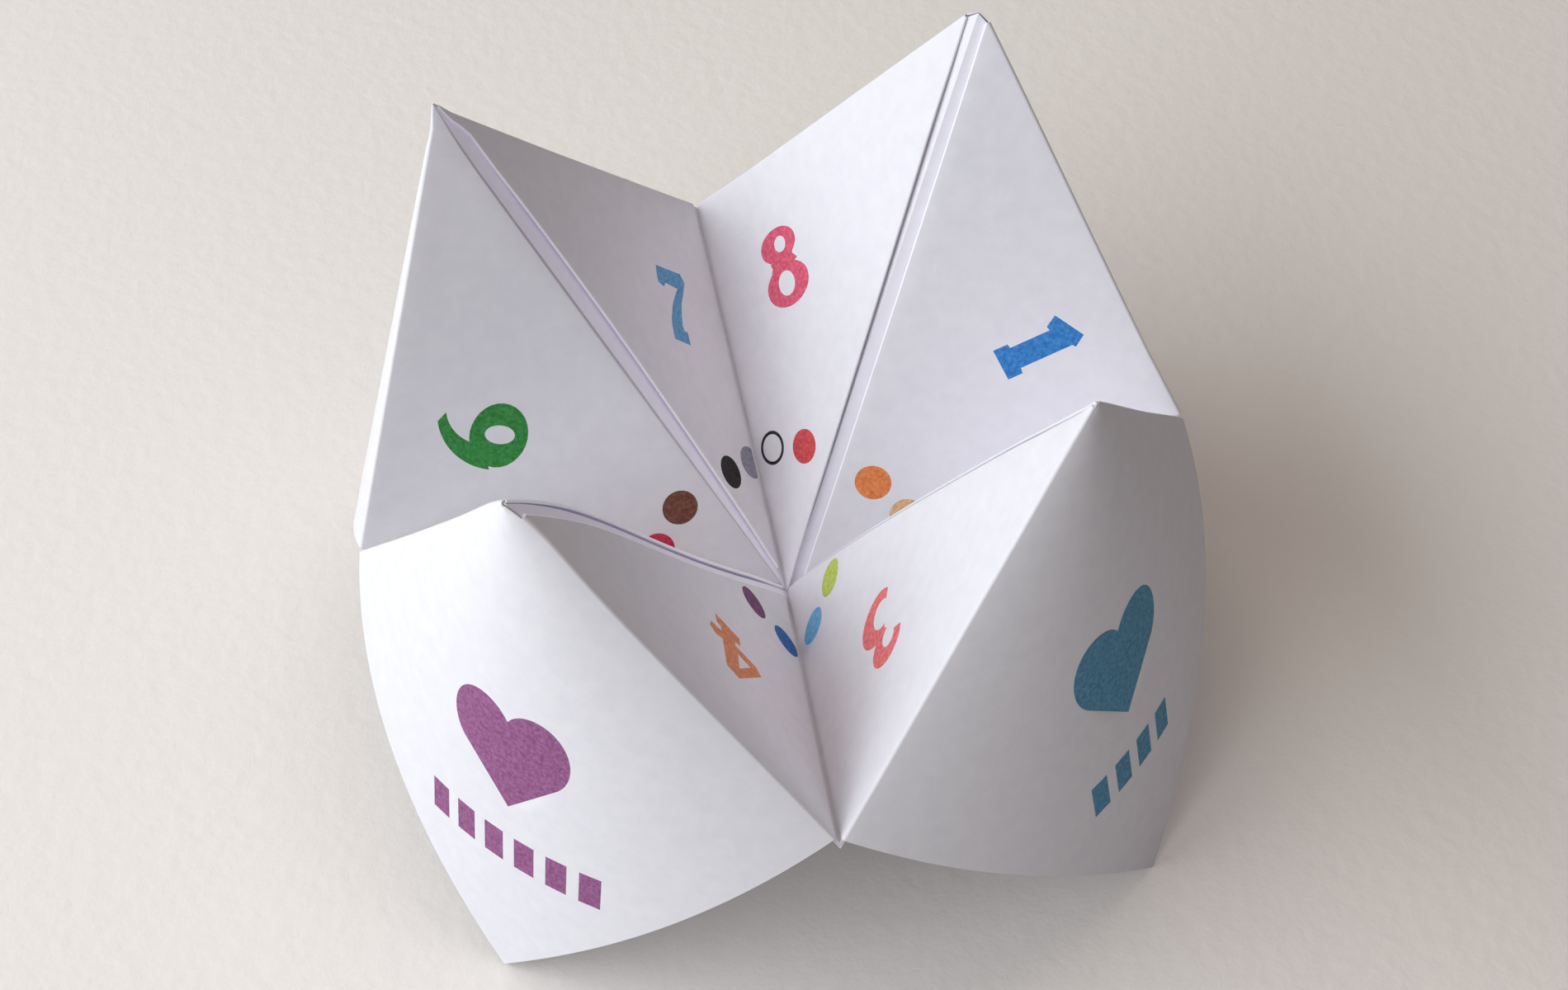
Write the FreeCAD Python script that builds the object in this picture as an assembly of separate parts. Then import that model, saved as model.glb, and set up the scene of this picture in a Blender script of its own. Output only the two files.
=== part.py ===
import FreeCAD, Part

import math
import os

# A paper fortune teller: one square sheet, folded corners to centre twice and then opened.
# Millimetres, +Z up. It stands on the four free corners of its finger pockets.

Vector = FreeCAD.Vector

# The sheet
SHEET_SIDE = 203.2
PAPER_THICKNESS = 0.12
LAYER_GAP = 0.08

# How the raw edges keep clear of each other
RAW_EDGE_CLEARANCE = 0.35
POCKET_TIP_OPENING = 0.5

# Valley creases, from the bottom of the mouth to the middle of each side of the folded square:
# bearing from +X and rise above level in degrees, and how far the fold slipped by hand
MEDIANS = {
    "east": (3.2, 25.0, 0.1),
    "north": (97.1, 24.0, -1.0),
    "west": (183.6, 21.2, 0.7),
    "south": (270.0, 22.7, 0.6),
}

# Mountain creases, from the bottom of the mouth to the four tips, with the same three values
RIDGES = {
    "north_east": (50.2, 57.2, -0.7),
    "north_west": (143.6, 53.5, -0.5),
    "south_west": (225.6, 54.1, -0.4),
    "south_east": (315.3, 57.8, -1.6),
}

# The two medians beside each ridge, and the flat angle of its pocket at the tip in degrees
POCKETS = {
    "north_east": ("east", "north", 91.0),
    "north_west": ("north", "west", 90.0),
    "south_west": ("west", "south", 89.4),
    "south_east": ("south", "east", 91.05),
}

# How far the folded edge on each median's side lies back from the ridge, so that a slit shows
# the base between them: at the bottom of the mouth and at the tip
SLITS = {
    "north_east": {"east": (1.6, 1.25), "north": (0.1, 1.45)},
    "north_west": {"north": (1.3, 2.3), "west": (0.3, 0.4)},
    "south_west": {"west": (0.4, 0.6), "south": (1.4, 2.4)},
    "south_east": {"south": (0.3, 0.5), "east": (0.4, 0.6)},
}

# Twice folded, the square measures half the sheet, and each crease to its middle is a quarter
QUARTER = SHEET_SIDE / 4
HALF_DIAGONAL = QUARTER * math.sqrt(2)

# Depth of each layer's face below the printed number face
LAYER_PITCH = PAPER_THICKNESS + LAYER_GAP
NUMBER_LAYER = 0.0
MIDDLE_LAYER = LAYER_PITCH
BASE_LAYER = 2 * LAYER_PITCH

# The two folds that run side by side round each outer edge of the folded square
INNER_FOLD_RADIUS = LAYER_GAP / 2
INNER_FOLD_DEPTH = (MIDDLE_LAYER + PAPER_THICKNESS + BASE_LAYER) / 2
OUTER_FOLD_RADIUS = INNER_FOLD_DEPTH - PAPER_THICKNESS / 2

# Larger than the whole model, for cutting, and the fineness of the facets that measure its box
REACH = 2 * SHEET_SIDE
FACET_TOLERANCE = 0.03


def unit(vector):
    return Vector(vector).normalize()


def crease_end(bearing, rise, length):
    across = length * math.cos(math.radians(rise))
    return Vector(
        across * math.cos(math.radians(bearing)),
        across * math.sin(math.radians(bearing)),
        length * math.sin(math.radians(rise)),
    )


def closed_solid(faces):
    solid = Part.makeSolid(Part.makeShell(faces))
    if solid.Volume < 0:
        solid.reverse()
    return solid


def slab(upper, lower):
    """Solid between two outlines with the same number of corners."""
    faces = [Part.Face(Part.makePolygon(ring + ring[:1])) for ring in (upper, lower)]
    count = len(upper)
    for index in range(count):
        after = (index + 1) % count
        ring = [upper[index], upper[after], lower[after], lower[index]]
        faces.append(Part.Face(Part.makePolygon(ring + ring[:1])))
    return closed_solid(faces)


def fold_solid(centre, start, turn, radius, length, along):
    """Paper bent about an axis: start points from the axis to where the bend begins, turn is
    the direction that the bend sets off in, and radius is the inside radius."""
    sweep, direction = turn
    side = unit(direction)
    outer_radius = radius + PAPER_THICKNESS

    def spoke(angle, reach):
        return centre + start * (reach * math.cos(angle)) + side * (reach * math.sin(angle))

    outer = Part.Arc(
        spoke(0, outer_radius), spoke(sweep / 2, outer_radius), spoke(sweep, outer_radius)
    ).toShape()
    inner = Part.Arc(spoke(sweep, radius), spoke(sweep / 2, radius), spoke(0, radius)).toShape()
    far_end = Part.makeLine(spoke(sweep, outer_radius), spoke(sweep, radius))
    near_end = Part.makeLine(spoke(0, radius), spoke(0, outer_radius))
    return Part.Face(Part.Wire([outer, far_end, inner, near_end])).extrude(along * length)


def half_space(point, outward):
    """Everything on the outward side of a plane, within reach of the model."""
    block = Part.makeBox(REACH, REACH, REACH, Vector(-REACH / 2, -REACH / 2, 0))
    block.Placement = FreeCAD.Placement(point, FreeCAD.Rotation(Vector(0, 0, 1), outward))
    return block


class Panel:
    """One of the eight triangles of the mouth, between a median and a ridge."""

    def __init__(self, centre, median_end, tip, other_tip, other_median_end):
        self.median_end = median_end
        self.edge_length = median_end.distanceToPoint(tip)
        self.up = unit(tip - median_end)
        self.normal = unit((median_end - centre).cross(tip - centre))
        if self.normal.z < 0:
            self.normal = self.normal * -1
        self.inward = self.normal.cross(self.up)
        if self.inward.dot(centre - median_end) < 0:
            self.inward = self.inward * -1
        self.centre_flat = self.flatten(centre)
        self.tip_flat = self.flatten(tip)
        self.median_slope = self.mitre_slope(centre, median_end, other_tip)
        self.ridge_slope = -self.mitre_slope(centre, tip, other_median_end)

    def mitre_slope(self, centre, crease_far_end, neighbour_corner):
        """How far a layer reaches past the crease, for each millimetre of its depth."""
        normal = unit((crease_far_end - centre).cross(neighbour_corner - centre))
        if normal.z < 0:
            normal = normal * -1
        return math.tan(normal.getAngle(self.normal) / 2)

    def flatten(self, point):
        offset = point - self.median_end
        return (offset.dot(self.inward), offset.dot(self.up))

    def place(self, flat, depth):
        return self.median_end + self.inward * flat[0] + self.up * flat[1] - self.normal * depth


def shifted_line(start, end, inside, first_shift, last_shift):
    """A flat line moved sideways, away from the inside point, by its own shift at each end."""
    run = (end[0] - start[0], end[1] - start[1])
    length = math.hypot(*run)
    side = (run[1] / length, -run[0] / length)
    if (inside[0] - start[0]) * side[0] + (inside[1] - start[1]) * side[1] > 0:
        side = (-side[0], -side[1])
    return (
        (start[0] + side[0] * first_shift, start[1] + side[1] * first_shift),
        (end[0] + side[0] * last_shift, end[1] + side[1] * last_shift),
    )


def crossing(first, second):
    """Where two flat lines meet."""
    (ax, ay), (bx, by) = first
    (cx, cy), (dx, dy) = second
    spread = (bx - ax) * (dy - cy) - (by - ay) * (dx - cx)
    share = ((cx - ax) * (dy - cy) - (cy - ay) * (dx - cx)) / spread
    return (ax + share * (bx - ax), ay + share * (by - ay))


def panel_outline(panel, edge_x, median_shift, ridge_shifts):
    """The flat corners of one layer of a panel."""
    corner = (0.0, 0.0)
    median = shifted_line(corner, panel.centre_flat, panel.tip_flat, median_shift, median_shift)
    ridge = shifted_line(panel.centre_flat, panel.tip_flat, corner, *ridge_shifts)
    edge = ((edge_x, 0.0), (edge_x, panel.edge_length))
    return [crossing(edge, median), crossing(median, ridge), crossing(ridge, edge)]


def mouth_layers(panel, slit, edge_x, outer_radius, outer_sweep):
    """The three layers of one panel, with the folds that join them and start the pocket."""
    fold_reach = INNER_FOLD_RADIUS + PAPER_THICKNESS
    folded = tuple(-(setback + fold_reach) for setback in slit)

    def layer(depth, median_shift_at, ridge_shifts_at):
        rings = []
        for level in (depth, depth + PAPER_THICKNESS):
            outline = panel_outline(panel, edge_x, median_shift_at(level), ridge_shifts_at(level))
            rings.append([panel.place(corner, level) for corner in outline])
        return slab(*rings)

    def median_mitre(level):
        return level * panel.median_slope

    def ridge_mitre(level):
        return (level * panel.ridge_slope, level * panel.ridge_slope)

    base = layer(BASE_LAYER, median_mitre, ridge_mitre)
    middle = layer(MIDDLE_LAYER, median_mitre, lambda level: folded)
    number = layer(NUMBER_LAYER, lambda level: -RAW_EDGE_CLEARANCE, lambda level: folded)

    # The folded edge beside the slit, from the number layer to the middle layer
    outline = panel_outline(panel, edge_x, -RAW_EDGE_CLEARANCE, folded)
    slit_fold_depth = (NUMBER_LAYER + MIDDLE_LAYER + PAPER_THICKNESS) / 2
    low_end = panel.place(outline[1], slit_fold_depth)
    high_end = panel.place(outline[2], slit_fold_depth)
    slit_run = unit(high_end - low_end)
    slit_outward = slit_run.cross(panel.normal)
    if slit_outward.dot(panel.inward) < 0:
        slit_outward = slit_outward * -1
    slit_fold = fold_solid(
        low_end,
        panel.normal,
        (math.pi, slit_outward),
        INNER_FOLD_RADIUS,
        low_end.distanceToPoint(high_end),
        slit_run,
    )

    # The two folds along the outer edge of the folded square
    fold_start = RAW_EDGE_CLEARANCE
    fold_length = outline[2][1] - fold_start
    outward = panel.inward * -1
    inner_fold = fold_solid(
        panel.place((edge_x, fold_start), INNER_FOLD_DEPTH),
        panel.normal,
        (math.pi, outward),
        INNER_FOLD_RADIUS,
        fold_length,
        panel.up,
    )
    outer_fold = fold_solid(
        panel.place((edge_x, fold_start), PAPER_THICKNESS / 2 + outer_radius),
        panel.normal,
        (outer_sweep, outward),
        outer_radius - PAPER_THICKNESS / 2,
        fold_length,
        panel.up,
    )
    return [base, middle, number, slit_fold, inner_fold, outer_fold]


def cone_half_angle(chord_angle, surface_angle):
    """Half angle of the round cone whose surface spans surface_angle when it is laid flat and
    whose two straight edges stand chord_angle apart."""
    low = chord_angle / 2
    high = math.pi / 2
    for _ in range(60):
        trial = (low + high) / 2
        spin = 2 * math.asin(min(1.0, math.sin(chord_angle / 2) / math.sin(trial)))
        if spin * math.sin(trial) > surface_angle:
            low = trial
        else:
            high = trial
    return (low + high) / 2


def pocket_and_panels(centre, ends, tip, other_tips, slits, surface_degrees):
    """A finger pocket with the two panels that it is folded from."""
    panels = [
        Panel(centre, ends[0], tip, other_tips[0], ends[1]),
        Panel(centre, ends[1], tip, other_tips[1], ends[0]),
    ]
    rays = [panel.up * -1 for panel in panels]

    # The round cone through both fold lines, bulging away from the mouth
    surface_angle = math.radians(surface_degrees)
    chord_angle = rays[0].getAngle(rays[1])
    half_angle = cone_half_angle(chord_angle, surface_angle)
    bisector = unit(rays[0] + rays[1])
    bulge = unit(rays[0].cross(rays[1]))
    if bulge.dot(tip - centre) < 0 or bulge.z > 0.9:
        bulge = bulge * -1
    tilt = math.acos(min(1.0, math.cos(half_angle) / math.cos(chord_angle / 2)))
    axis = bisector * math.cos(tilt) - bulge * math.sin(tilt)
    spin = surface_angle / math.sin(half_angle)
    turn = 1 if axis.cross(rays[0]).dot(rays[1]) > 0 or spin > math.pi else -1

    # The direction in which the pocket leaves each fold, and the size of the fold round it
    leaving = [unit(axis.cross(ray)) * sign for ray, sign in zip(rays, (turn, -turn))]
    lean = [leave.dot(panel.inward) for leave, panel in zip(leaving, panels)]
    apex_depth = PAPER_THICKNESS / 2 + OUTER_FOLD_RADIUS * (1 + max(lean))
    radii = [(apex_depth - PAPER_THICKNESS / 2) / (1 + value) for value in lean]
    sweeps = [math.pi - math.acos(value) for value in lean]

    # The cone's apex, at the same depth under both panels and just inside the tip
    normal_sum = panels[0].normal + panels[1].normal
    sink = normal_sum * (apex_depth / (1 + panels[0].normal.dot(panels[1].normal)))
    ridge = unit(centre - tip)
    slides = []
    for panel, radius, sweep in zip(panels, radii, sweeps):
        wanted = radius + PAPER_THICKNESS / 2 - radius * math.sin(sweep)
        slides.append((wanted + sink.dot(panel.inward)) / ridge.dot(panel.inward))
    apex = tip - sink + ridge * (sum(slides) / 2)

    solids = []
    for panel, slit, radius, sweep in zip(panels, slits, radii, sweeps):
        edge_x = panel.flatten(apex)[0] + radius * math.sin(sweep)
        solids += mouth_layers(panel, slit, edge_x, radius, sweep)

    # The pocket itself: a strip spun round the cone's axis, cut along the two raw edges
    surface_normal = unit(leaving[0].cross(rays[0]))
    near = apex + rays[0] * POCKET_TIP_OPENING
    far = apex + rays[0] * SHEET_SIDE
    half_paper = surface_normal * (PAPER_THICKNESS / 2)
    strip = [near + half_paper, far + half_paper, far - half_paper, near - half_paper]
    face = Part.Face(Part.makePolygon(strip + strip[:1]))
    pocket = face.revolve(apex, axis, turn * math.degrees(spin))
    edges = [panel.flatten(apex)[1] - RAW_EDGE_CLEARANCE for panel in panels]
    corner_angle = math.atan2(edges[1] / edges[0] - math.cos(surface_angle), math.sin(surface_angle))
    corner_turn = turn * math.degrees(corner_angle / math.sin(half_angle))
    corner_ray = FreeCAD.Rotation(axis, corner_turn).multVec(rays[0])
    free_corner = apex + corner_ray * (edges[0] / math.cos(corner_angle))
    for edge, ray, leave in zip(edges, rays, leaving):
        raw_start = apex + ray * edge
        outward = unit(leave.cross(free_corner - raw_start))
        if outward.dot(ray) < 0:
            outward = outward * -1
        pocket = pocket.cut(half_space(raw_start, outward))
    solids.append(pocket)
    return solids


def folded_sheet():
    centre = Vector(0, 0, 0)
    median_ends = {}
    for name, (bearing, rise, slip) in MEDIANS.items():
        median_ends[name] = crease_end(bearing, rise, QUARTER + slip)
    tips = {}
    for name, (bearing, rise, slip) in RIDGES.items():
        tips[name] = crease_end(bearing, rise, HALF_DIAGONAL + slip)

    solids = []
    for name, (first, second, surface_degrees) in POCKETS.items():
        other_tips = []
        for median in (first, second):
            beside = [ridge for ridge in POCKETS if ridge != name and median in POCKETS[ridge][:2]]
            other_tips.append(tips[beside[0]])
        ends = (median_ends[first], median_ends[second])
        slits = (SLITS[name][first], SLITS[name][second])
        solids += pocket_and_panels(centre, ends, tips[name], other_tips, slits, surface_degrees)
    return solids[0].multiFuse(solids[1:])


def stand_on_floor(shape):
    """Origin at the bottom centre of the model's box, as its facets give it."""
    points = shape.tessellate(FACET_TOLERANCE)[0]
    box = FreeCAD.BoundBox()
    for point in points:
        box.add(point)
    shape.translate(Vector(-box.Center.x, -box.Center.y, -box.ZMin))
    return shape


def main():
    os.makedirs("parts", exist_ok=True)
    sheet = stand_on_floor(folded_sheet())
    sheet.exportStep("parts/folded_sheet.step")
    flat_volume = SHEET_SIDE * SHEET_SIDE * PAPER_THICKNESS
    print("solids", len(sheet.Solids), "valid", sheet.isValid())
    print("volume", round(sheet.Volume, 1), "flat sheet", round(flat_volume, 1))


main()
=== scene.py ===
import bpy
import math
from mathutils import Matrix, Vector, geometry, noise


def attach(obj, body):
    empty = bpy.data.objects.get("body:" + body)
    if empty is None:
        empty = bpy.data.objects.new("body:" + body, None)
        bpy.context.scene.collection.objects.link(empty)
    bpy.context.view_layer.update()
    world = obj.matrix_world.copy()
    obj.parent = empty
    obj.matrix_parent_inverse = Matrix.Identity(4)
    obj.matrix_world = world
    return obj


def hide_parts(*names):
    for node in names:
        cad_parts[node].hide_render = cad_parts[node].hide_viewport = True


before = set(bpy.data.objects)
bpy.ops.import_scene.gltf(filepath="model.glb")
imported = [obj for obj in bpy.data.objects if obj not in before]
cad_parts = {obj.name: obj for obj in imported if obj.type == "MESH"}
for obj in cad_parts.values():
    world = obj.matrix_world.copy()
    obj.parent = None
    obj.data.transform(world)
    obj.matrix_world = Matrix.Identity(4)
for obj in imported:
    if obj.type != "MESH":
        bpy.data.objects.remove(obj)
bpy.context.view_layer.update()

# The folded sheet, in millimetres, as the frame's solid has it
MM = 0.001
QUARTER = 50.8
HALF_DIAGONAL = QUARTER * math.sqrt(2)
PAPER = 0.12
GAP = 0.08
PITCH = PAPER + GAP
POCKET_TIP = 0.5
FOLD_RADIUS = GAP / 2
FOLD_REACH = FOLD_RADIUS + PAPER
INNER_FOLD_DEPTH = (PITCH + PAPER + 2 * PITCH) / 2
OUTER_FOLD_RADIUS = INNER_FOLD_DEPTH - PAPER / 2

# How far the number layer's raw edge lies back from the median. Two lie further back here,
# where the solid has one amount for all.
RAW_CLEARANCE = 0.35
RAW_CLEARANCES = {("north_west", "north"): 0.8, ("south_west", "south"): 0.7}

# Bottom of the mouth in the frame
CENTRE = Vector((1.092, 0.707, 12.588))

# Bearing and rise in degrees, and the slip of the crease by hand
MEDIANS = {
    "east": (3.2, 25.0, 0.1),
    "north": (97.1, 24.0, -1.0),
    "west": (183.6, 21.2, 0.7),
    "south": (270.0, 22.7, 0.6),
}
RIDGES = {
    "north_east": (50.2, 57.2, -0.7),
    "north_west": (143.6, 53.5, -0.5),
    "south_west": (225.6, 54.1, -0.4),
    "south_east": (315.3, 57.8, -1.6),
}

# The medians beside each ridge, and the flat angle of its pocket at the tip in degrees
POCKETS = {
    "north_east": ("east", "north", 91.0),
    "north_west": ("north", "west", 90.0),
    "south_west": ("west", "south", 89.4),
    "south_east": ("south", "east", 91.05),
}

# How far each folded edge lies back from its ridge: at the centre, towards the tip, the bow
# between them, and right at the tip, which it comes to over the closing length
SLITS = {
    ("north_east", "north"): (-0.3, 1.45, -0.15, 1.45),
    ("north_east", "east"): (1.6, 1.25, 0.1, 1.25),
    ("north_west", "north"): (1.0, 2.2, 1.1, 0.4),
    ("north_west", "west"): (0.3, 0.35, 0.15, 0.2),
    ("south_west", "west"): (0.1, 0.2, 0.0, 0.2),
    ("south_west", "south"): (1.6, 1.7, 0.0, 1.6),
    ("south_east", "south"): (0.3, 0.5, 0.0, 0.5),
    ("south_east", "east"): (0.4, 0.6, 0.0, 0.6),
}
SLIT_CLOSING = 4.5

# How far a ridge bulges out of line, and how near its tip it does so
RIDGE_BOWS = {"south_west": (1.2, 4), "south_east": (0.7, 1)}
BOW_WIDTH = 6.0

# How far the flaps spring up off the base at the slit, and over what length the lift grows
# from the outer fold and from the centre
FLAP_LIFT = 0.25
LIFT_FROM_FOLD = 10
LIFT_FROM_CENTRE = 9

# How the whole sheet waves, and how high over the table the wave is whole
WAVE_HEIGHT = 0.14
WAVE_LENGTH = 30.0
WAVE_START = 12

# A weak glow stands in for the light that comes through the single sheet at some slits, and
# for the light on the folded edges beside them
GLOWS = {
    ("north_west", "north"): 0.13,
    ("south_west", "south"): 0.1,
    ("south_west", "west"): 0.08,
    ("north_east", "east"): 0.06,
}
GLOW_COLOUR = (0.75, 0.7, 1.0, 1.0)
EDGE_HIGHLIGHT_GLOW = 0.15
EDGE_HIGHLIGHT_COLOUR = (0.97, 0.96, 1.0, 1.0)

# The tip that is pressed flat: how far it is drawn out, over what length, and where it stops
BLUNT_TIP = ("north_east", 1.6, 30.0, 0.3)

# Tips pinched to a sharp end so far beyond the crease, from how near, and how firmly
PINCHED_TIPS = {"north_west": 0.9, "south_east": 0.4}
PINCH_REACH = 1.5
PINCH_HOLD = 0.85

# How near two points of the sheet are the same point
WELD = 0.002
NEAR_CELLS = [(x, y, z) for x in (0, -1, 1) for y in (0, -1, 1) for z in (0, -1, 1)]

# Mesh fineness: how far apart the points lie
PANEL_STEP = 1.8
HIDDEN_STEP = PANEL_STEP * 1.5
POCKET_STEP = 1.6
SEAM_STEP = 1.6

# The share of that step between two rows, and the least share next to an outline
ROW_SHARE = 0.87
EDGE_SHARE = 0.45

# Steps along an outline, along a slit, round a fold and round a printed curve
EDGE_STEPS = 30
SLIT_STEPS = 48
FOLD_STEPS = 8
CURVE_STEPS = 28

# How often the search for a cone's angle halves its range
CONE_HALVINGS = 60

# Faces that meet at more degrees than this show an edge
SHARP_ANGLE = 32

# Printed numbers, clockwise from the west side of the north flap
NUMBERS = {
    ("north_west", "north"): "7",
    ("north_east", "north"): "8",
    ("north_east", "east"): "1",
    ("south_east", "east"): "2",
    ("south_east", "south"): "3",
    ("south_west", "south"): "4",
    ("south_west", "west"): "5",
    ("north_west", "west"): "6",
}
NUMBER_COLOURS = {
    "1": (44, 131, 216),
    "2": (150, 95, 175),
    "3": (250, 120, 123),
    "4": (242, 146, 97),
    "5": (60, 165, 160),
    "6": (45, 145, 60),
    "7": (99, 170, 220),
    "8": (236, 88, 120),
}
NUMBER_HEIGHT = 10.0

# Where the number and its two dots lie on each panel: along the median and across towards the
# ridge. The first dot is the one near the median.
PRINT_PLACES = {
    "1": ((40.2, 14.6), (17.2, 2.1), (15.5, 7.5)),
    "2": ((39.5, 14.0), (16.9, 3.0), (15.0, 8.6)),
    "3": ((32.5, 14.0), (14.5, 3.4), (12.9, 8.6)),
    "4": ((32.6, 14.1), (15.6, 2.7), (14.7, 8.5)),
    "5": ((38.0, 14.0), (16.9, 3.2), (15.0, 8.7)),
    "6": ((39.5, 14.9), (16.8, 3.2), (15.1, 8.7)),
    "7": ((34.9, 10.5), (15.9, 1.7), (14.0, 6.9)),
    "8": ((37.0, 12.6), (16.9, 3.2), (15.1, 8.8)),
}

# The dot near the median, then the other one
DOT_COLOURS = {
    "1": ((250, 190, 142), (250, 138, 72)),
    "2": ((130, 200, 190), (35, 120, 120)),
    "3": ((115, 195, 245), (200, 220, 92)),
    "4": ((38, 105, 190), (118, 62, 112)),
    "5": ((235, 190, 60), (180, 120, 40)),
    "6": ((218, 42, 84), (119, 67, 52)),
    "7": ((155, 156, 174), (22, 18, 17)),
    "8": ((22, 20, 22), (220, 70, 75)),
}
DOT_RADIUS = 2.12

# The panel whose first dot is only a ring
RING_NUMBER = "8"
RING_WIDTH = 0.42

# The ink of each pocket's heart and bars
HEART_COLOURS = {
    "south_west": (150, 82, 139),
    "south_east": (73, 147, 188),
    "north_east": (215, 90, 60),
    "north_west": (95, 160, 80),
}

# A heart lobe's middle and radii along and across the pocket's diagonal from its tip, the turn
# of the lobe's ends in degrees, and the heart's point
HEART_LOBE = (34.2, 3.4, 5.0, 4.15)
HEART_LOBE_ENDS = (145, -48)
HEART_POINT = 44.4

# How far the print of each pocket lies off along and across the diagonal
PRINT_SHIFTS = {
    "south_west": (-1.6, 0.5),
    "south_east": (-0.3, -1.2),
    "north_east": (0.0, 0.0),
    "north_west": (0.0, 0.0),
}

# A row of plain bars beyond each heart, with its distance from the tip
BAR_COUNTS = {"south_west": 6, "south_east": 4, "north_east": 3, "north_west": 5}
BAR_DISTANCES = {"south_west": 49.8, "south_east": 52.0, "north_east": 51.0, "north_west": 51.0}
BAR_HEIGHT = 4.7
BAR_PITCH = 4.1
BAR_WIDTH = 2.6

# The camera, as the photo's perspective gives it
CAMERA_PLACE = Vector((-17.86, -172.81, 245.73))
CAMERA_AZIMUTH = -6.205
CAMERA_ELEVATION = 51.026
CAMERA_ROLL = -0.71
CAMERA_LENS = 56.12

# Lamps round the object: bearing and height in degrees, size in metres, watts and colour
LAMPS = {
    "window": ((190, 35), (1.3, 0.6), 9.7, (0.93, 0.98, 1.0)),
    "front_glow": ((265, 60), (0.8, 0.6), 1.2, (1.0, 0.9, 0.92)),
    "back_glow": ((90, 70), (0.8, 0.6), 1.9, (1.0, 0.87, 0.74)),
}
LAMP_DISTANCE = 0.9
LAMP_TARGET = Vector((0, 0, 0.03))
ROOM_COLOUR = (250, 248, 246)
ROOM_STRENGTH = 0.03

# The table, in metres
TABLE_HALF_WIDTH = 3.0
TABLE_COLOUR = (245, 240, 236)

# The two ends of the paper's mottle, the share of its colour that the ink keeps in its dark
# grain, and how far its light grain goes towards white
PAPER_DARK = (231, 230, 238)
PAPER_LIGHT = (237, 236, 243)
INK_DARKER = 0.86
INK_LIGHTER = 0.14

# Materials, in the order of the mesh's slots
paints = []


def linear(value):
    """A colour level of 0 to 255 as the share of light that it stands for."""
    share = value / 255
    return share / 12.92 if share <= 0.04045 else ((share + 0.055) / 1.055) ** 2.4


def colour(rgb):
    return tuple(linear(value) for value in rgb) + (1.0,)


def add(tree, kind, place, **sockets):
    node = tree.nodes.new(kind)
    node.location = place
    for name, value in sockets.items():
        node.inputs[name.replace("_", " ")].default_value = value
    return node


def paper_relief(tree, shader):
    """Fine tooth and slow cockle of plain printer paper."""
    where = add(tree, "ShaderNodeTexCoord", (-1100, -300))
    tooth = add(tree, "ShaderNodeTexNoise", (-800, -250), Scale=2600.0, Detail=4.0, Roughness=0.65)
    fibre = add(tree, "ShaderNodeTexNoise", (-800, -500), Scale=700.0, Detail=3.0, Roughness=0.5)
    tree.links.new(where.outputs["Object"], tooth.inputs["Vector"])
    tree.links.new(where.outputs["Object"], fibre.inputs["Vector"])
    tooth_bump = add(tree, "ShaderNodeBump", (-300, -250), Strength=0.25, Distance=0.00003)
    fibre_bump = add(tree, "ShaderNodeBump", (-550, -500), Strength=0.3, Distance=0.00006)
    tree.links.new(fibre.outputs["Fac"], fibre_bump.inputs["Height"])
    tree.links.new(tooth.outputs["Fac"], tooth_bump.inputs["Height"])
    tree.links.new(fibre_bump.outputs["Normal"], tooth_bump.inputs["Normal"])
    tree.links.new(tooth_bump.outputs["Normal"], shader.inputs["Normal"])
    return where


def paper_material(name, glow, tint):
    """White printer paper, with a glow that stands in for light: painted light coming through the
    sheet at the slits, and a painted highlight on the folded edges beside them.
    """
    material = bpy.data.materials.new(name)
    material.use_nodes = True
    tree = material.node_tree
    shader = tree.nodes["Principled BSDF"]
    shader.inputs["Roughness"].default_value = 0.82
    shader.inputs["Emission Color"].default_value = tint
    shader.inputs["Emission Strength"].default_value = glow
    shader.inputs["Specular IOR Level"].default_value = 0.3
    where = paper_relief(tree, shader)
    mottle = add(tree, "ShaderNodeTexNoise", (-800, 200), Scale=500.0, Detail=5.0, Roughness=0.6)
    ramp = add(tree, "ShaderNodeValToRGB", (-400, 200))
    ramp.color_ramp.elements[0].position = 0.3
    ramp.color_ramp.elements[0].color = colour(PAPER_DARK)
    ramp.color_ramp.elements[1].position = 0.7
    ramp.color_ramp.elements[1].color = colour(PAPER_LIGHT)
    tree.links.new(where.outputs["Object"], mottle.inputs["Vector"])
    tree.links.new(mottle.outputs["Fac"], ramp.inputs["Fac"])
    tree.links.new(ramp.outputs["Color"], shader.inputs["Base Color"])
    return material


def ink_material(name, rgb):
    """Printer ink: an even colour with the fine light and dark grain of the print."""
    material = bpy.data.materials.new(name)
    material.use_nodes = True
    tree = material.node_tree
    shader = tree.nodes["Principled BSDF"]
    shader.inputs["Roughness"].default_value = 0.7
    shader.inputs["Specular IOR Level"].default_value = 0.3
    where = paper_relief(tree, shader)
    grain = add(tree, "ShaderNodeTexNoise", (-800, 200), Scale=2200.0, Detail=2.0, Roughness=0.6)
    darker = colour(value * INK_DARKER for value in rgb)
    lighter = colour(value + (255 - value) * INK_LIGHTER for value in rgb)
    ramp = add(tree, "ShaderNodeValToRGB", (-400, 200))
    ramp.color_ramp.elements[0].position = 0.3
    ramp.color_ramp.elements[0].color = darker
    ramp.color_ramp.elements[1].position = 0.72
    ramp.color_ramp.elements[1].color = lighter
    tree.links.new(where.outputs["Object"], grain.inputs["Vector"])
    tree.links.new(grain.outputs["Fac"], ramp.inputs["Fac"])
    tree.links.new(ramp.outputs["Color"], shader.inputs["Base Color"])
    return material


def paint(name, rgb=None, glow=0.0, tint=GLOW_COLOUR):
    """The slot number of a paper or ink material, made when it is first asked for."""
    names = [entry.name for entry in paints]
    if name not in names:
        paints.append(ink_material(name, rgb) if rgb else paper_material(name, glow, tint))
        names.append(name)
    return names.index(name)


PAPER_SLOT = paint("paper")


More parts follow.
